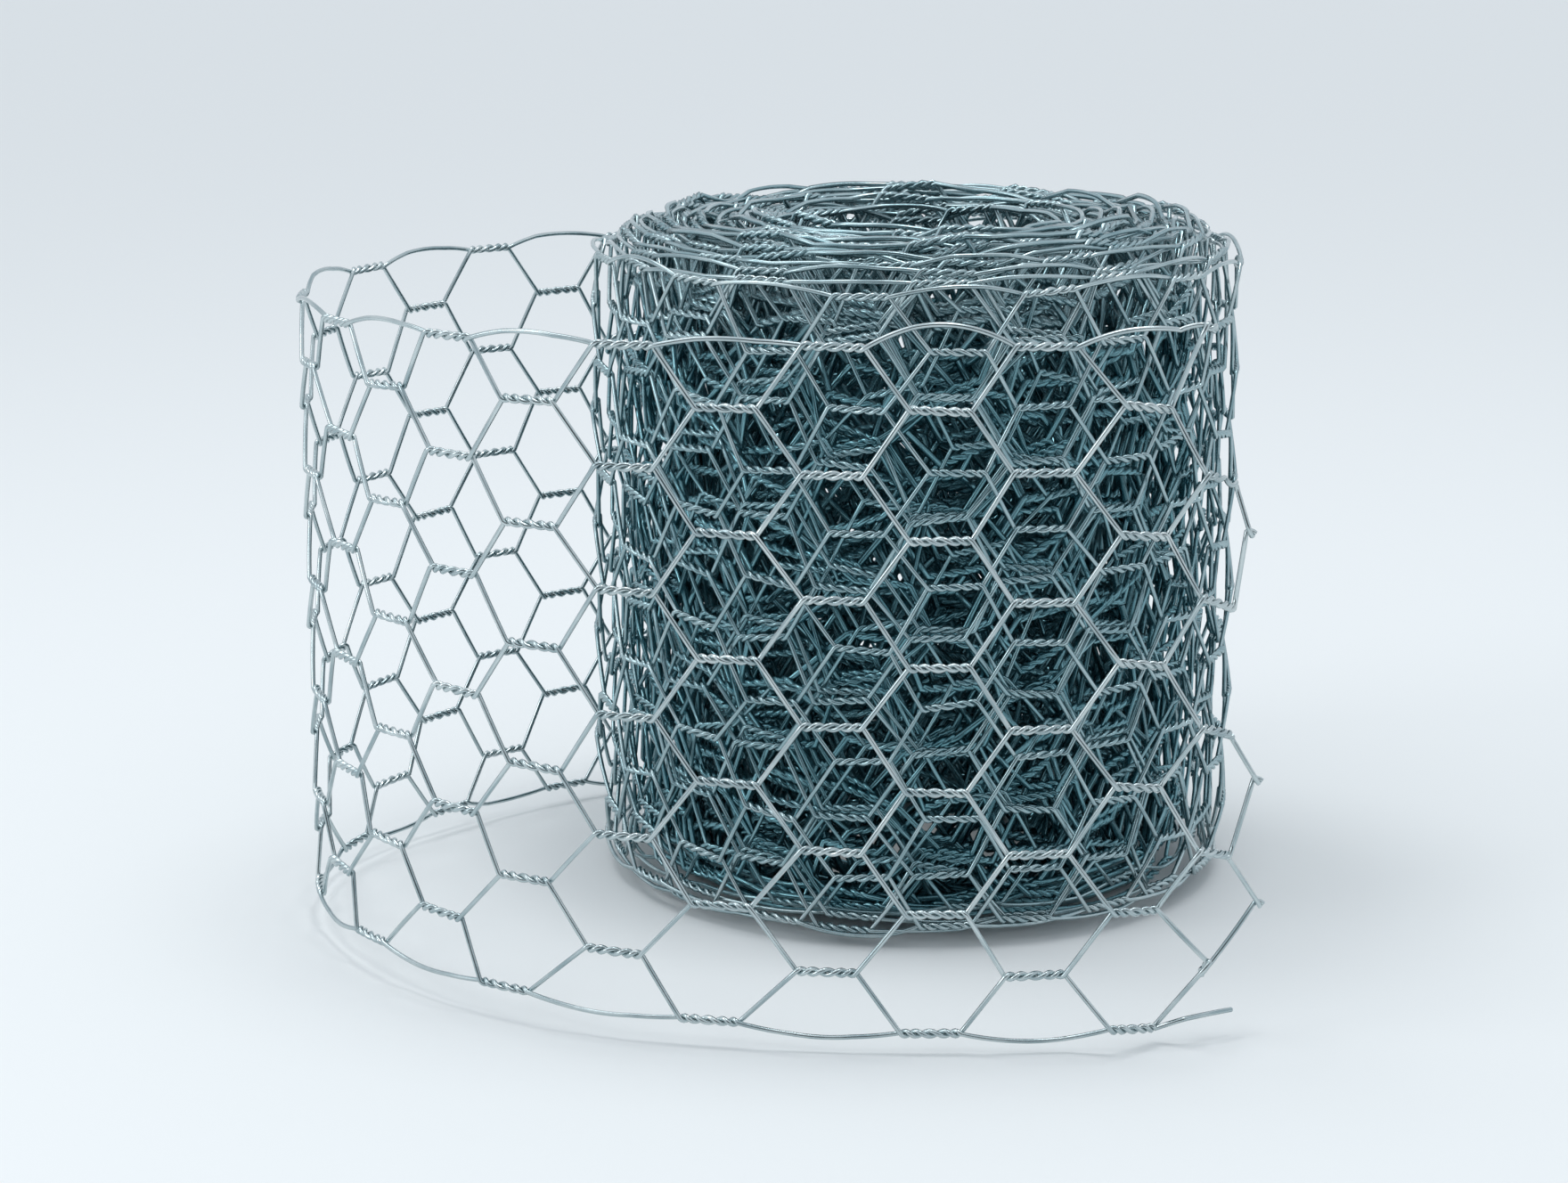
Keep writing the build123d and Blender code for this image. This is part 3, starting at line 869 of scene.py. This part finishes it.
def makeGalvanisedWire():
    # hot-dip galvanised steel wire: it was drawn, so fine streaks run along it, and its zinc is
    # clouded in patches from bright to dull grey; the streaks are as wide as they need to show
    material = bpy.data.materials.new("galvanisedSteelWire")
    material.use_nodes = True
    tree = material.node_tree
    tree.nodes.clear()
    known = {}
    section = addNode(tree, "ShaderNodeAttribute", attribute_name="section").outputs["Vector"]
    known["run"] = addNode(tree, "ShaderNodeAttribute", attribute_name="run").outputs["Fac"]
    workOut(tree, known, (("runScaled", "DIVIDE", "run", galvanised["streakLength"]),))
    across = addNode(tree, "ShaderNodeVectorMath", {
        0: section, "Scale": 1 / galvanised["streakSize"],
    }, operation="SCALE").outputs[0]
    parts = addNode(tree, "ShaderNodeSeparateXYZ", {0: across})
    drawnPlace = addNode(tree, "ShaderNodeCombineXYZ", {
        "X": parts.outputs[0], "Y": parts.outputs[1], "Z": known["runScaled"],
    }).outputs[0]
    streaks = addNode(tree, "ShaderNodeTexNoise", {
        "Vector": drawnPlace, "Scale": 1.0, "Detail": 1.0,
    }).outputs[0]
    place = addNode(tree, "ShaderNodeTexCoord").outputs["Object"]
    clouds = addNode(tree, "ShaderNodeTexNoise", {
        "Vector": place, "Scale": 1 / galvanised["patchSize"], "Detail": 3.0,
    }).outputs[0]
    known.update(streaks=streaks, clouds=clouds)
    streakShare, spread = galvanised["streakShare"], galvanised["roughnessSpread"]
    workOut(tree, known, (
        ("streakPart", "MULTIPLY", "streaks", streakShare),
        ("mottle", "MULTIPLY_ADD", "clouds", 1 - streakShare, "streakPart"),
        ("roughening", "MULTIPLY_ADD", "streaks", -spread, galvanised["roughness"] + spread / 2),
    ))
    dullest, brightest = galvanised["patchContrast"]
    tone = addNode(tree, "ShaderNodeMapRange", {
        "Value": known["mottle"], "From Min": dullest, "From Max": brightest,
    }).outputs[0]
    colour = addNode(tree, "ShaderNodeMix", {
        0: tone, 6: linearColour(galvanised["dull"]), 7: linearColour(galvanised["bright"]),
    }, data_type="RGBA").outputs[2]
    # painted shade: inside the roll the wire is painted darker and tealer by its depth, as the turns
    # shade each other
    known["buried"] = addNode(tree, "ShaderNodeAttribute", attribute_name="buried").outputs["Fac"]
    workOut(tree, known, (("paintedShadeShare", "MULTIPLY", "buried", galvanised["insideShadeShare"]),))
    shadedColour = addNode(tree, "ShaderNodeMix", {
        0: known["paintedShadeShare"], 6: colour, 7: linearColour(galvanised["inside"]),
    }, data_type="RGBA").outputs[2]
    bump = addNode(tree, "ShaderNodeBump", {
        "Height": streaks, "Strength": galvanised["streakBump"],
        "Distance": galvanised["streakDepth"],
    }).outputs[0]
    shader = addNode(tree, "ShaderNodeBsdfPrincipled", {
        "Base Color": shadedColour, "Metallic": 1.0, "Roughness": known["roughening"], "Normal": bump,
    })
    addNode(tree, "ShaderNodeOutputMaterial", {"Surface": shader.outputs[0]})
    return material


# The studio

studio = {
    "floor": "#E9EDEE",
    "floorSize": 14.0,
    "floorHeight": -0.0018,  # the wires touch the floor at a few points only
    "backdrop": "#E3E8EE",
    "darkSide": "#232E32",  # of the room, behind the camera
    "darkFrom": -0.66,  # how far behind it the room grows dark, as the y of a direction
    "darkTo": -0.92,
    "skyStrength": 0.935,
    "sunStrength": 0.42,
    "sunSoftness": 22.0,  # degrees
    "sunFrom": (-0.40, 0.22, 1.0),
    "softboxes": {  # place, size and power
        "leftSoftbox": ((-0.8, -0.35, 0.55), 0.32, 1.25),
        "overheadSoftbox": ((0.12, -0.05, 1.15), 0.26, 2.3),
    },
    "softboxAim": (0, 0, 0.07),
    "lens": 73.6,
    "sensor": 36.0,
    "cameraPlace": (-0.0300, -0.7304, 0.2258),
    "lookDown": 12.69,  # degrees
}


def makeWorld():
    world = bpy.data.worlds.new("studioWorld")
    bpy.context.scene.world = world
    world.use_nodes = True
    tree = world.node_tree
    tree.nodes.clear()
    rays = addNode(tree, "ShaderNodeLightPath")
    clear = addNode(tree, "ShaderNodeMath", {
        0: rays.outputs["Is Camera Ray"], 1: rays.outputs["Is Transmission Ray"],
    }, operation="MAXIMUM").outputs[0]
    seen = addNode(tree, "ShaderNodeMath", {0: clear, 1: rays.outputs["Is Glossy Ray"]},
                   operation="MAXIMUM").outputs[0]
    # it is seen at full strength, and lights the scene a little less
    strength = addNode(tree, "ShaderNodeMapRange", {
        "Value": seen, "To Min": studio["skyStrength"], "To Max": 1.0,
    }).outputs[0]
    # the room is dim behind the camera, which draws the dark lines down the middle of the wires
    direction = addNode(tree, "ShaderNodeTexCoord").outputs["Generated"]
    parts = addNode(tree, "ShaderNodeSeparateXYZ", {0: direction})
    dim = addNode(tree, "ShaderNodeMapRange", {
        "Value": parts.outputs[1], "From Min": studio["darkFrom"], "From Max": studio["darkTo"],
    }, interpolation_type="SMOOTHSTEP").outputs[0]
    dimGlossy = addNode(tree, "ShaderNodeMath", {0: dim, 1: rays.outputs["Is Glossy Ray"]},
                        operation="MULTIPLY").outputs[0]
    colour = addNode(tree, "ShaderNodeMix", {
        0: dimGlossy, 6: linearColour(studio["backdrop"]), 7: linearColour(studio["darkSide"]),
    }, data_type="RGBA").outputs[2]
    light = addNode(tree, "ShaderNodeBackground", {"Color": colour, "Strength": strength})
    addNode(tree, "ShaderNodeOutputWorld", {"Surface": light.outputs[0]})


def makeFloor():
    half, height = studio["floorSize"] / 2, studio["floorHeight"]
    corners = [(x * half, y * half, height) for x, y in ((-1, -1), (1, -1), (1, 1), (-1, 1))]
    mesh = bpy.data.meshes.new("floor")
    mesh.from_pydata(corners, [], [(0, 1, 2, 3)])
    floor = bpy.data.objects.new("floor", mesh)
    bpy.context.scene.collection.objects.link(floor)
    # matt coated paper, which shows soft shadows and no gleam
    paper = bpy.data.materials.new("palePaperFloor")
    paper.use_nodes = True
    shader = paper.node_tree.nodes["Principled BSDF"]
    shader.inputs["Base Color"].default_value = linearColour(studio["floor"])
    shader.inputs["Roughness"].default_value = 0.9
    shader.inputs["Specular IOR Level"].default_value = 0.2
    mesh.materials.append(paper)


def makeLights():
    sun = bpy.data.lights.new("sun", "SUN")
    sun.energy = studio["sunStrength"]
    sun.angle = math.radians(studio["sunSoftness"])
    holder = bpy.data.objects.new("sun", sun)
    holder.rotation_euler = (-Vector(studio["sunFrom"])).to_track_quat("-Z", "Y").to_euler()
    bpy.context.scene.collection.objects.link(holder)
    for name, (place, size, power) in studio["softboxes"].items():
        lamp = bpy.data.lights.new(name, "AREA")
        lamp.size = size
        lamp.energy = power
        holder = bpy.data.objects.new(name, lamp)
        holder.location = place
        aim = Vector(studio["softboxAim"]) - Vector(place)
        holder.rotation_euler = aim.to_track_quat("-Z", "Y").to_euler()
        bpy.context.scene.collection.objects.link(holder)


def makeCamera():
    camera = bpy.data.cameras.new("camera")
    camera.lens = studio["lens"]
    camera.sensor_width = studio["sensor"]
    eye = bpy.data.objects.new("camera", camera)
    eye.location = studio["cameraPlace"]
    eye.rotation_euler = (math.radians(90 - studio["lookDown"]), 0, 0)
    bpy.context.scene.collection.objects.link(eye)
    bpy.context.scene.camera = eye
    bpy.context.scene.view_settings.view_transform = "Standard"


makeWorld()
makeFloor()
makeLights()
makeCamera()
print("studio made")
wireMaterial = makeGalvanisedWire()
planObject, woundLength = makePlanLine()
snipMarks = makeSnipMarks()
nettingTree = makeNettingTree(makeShiftGroup())
for stretchName, stretchValues in stretches.items():
    piece = makeStretch(stretchName, stretchValues, nettingTree, planObject, woundLength,
                        snipMarks, wireMaterial)
    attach(piece, "root")
bpy.data.objects.remove(planObject)
bpy.data.objects.remove(snipMarks)
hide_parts("wound_roll")
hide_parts(*[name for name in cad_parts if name.startswith("loose_end")])
print("netting made")
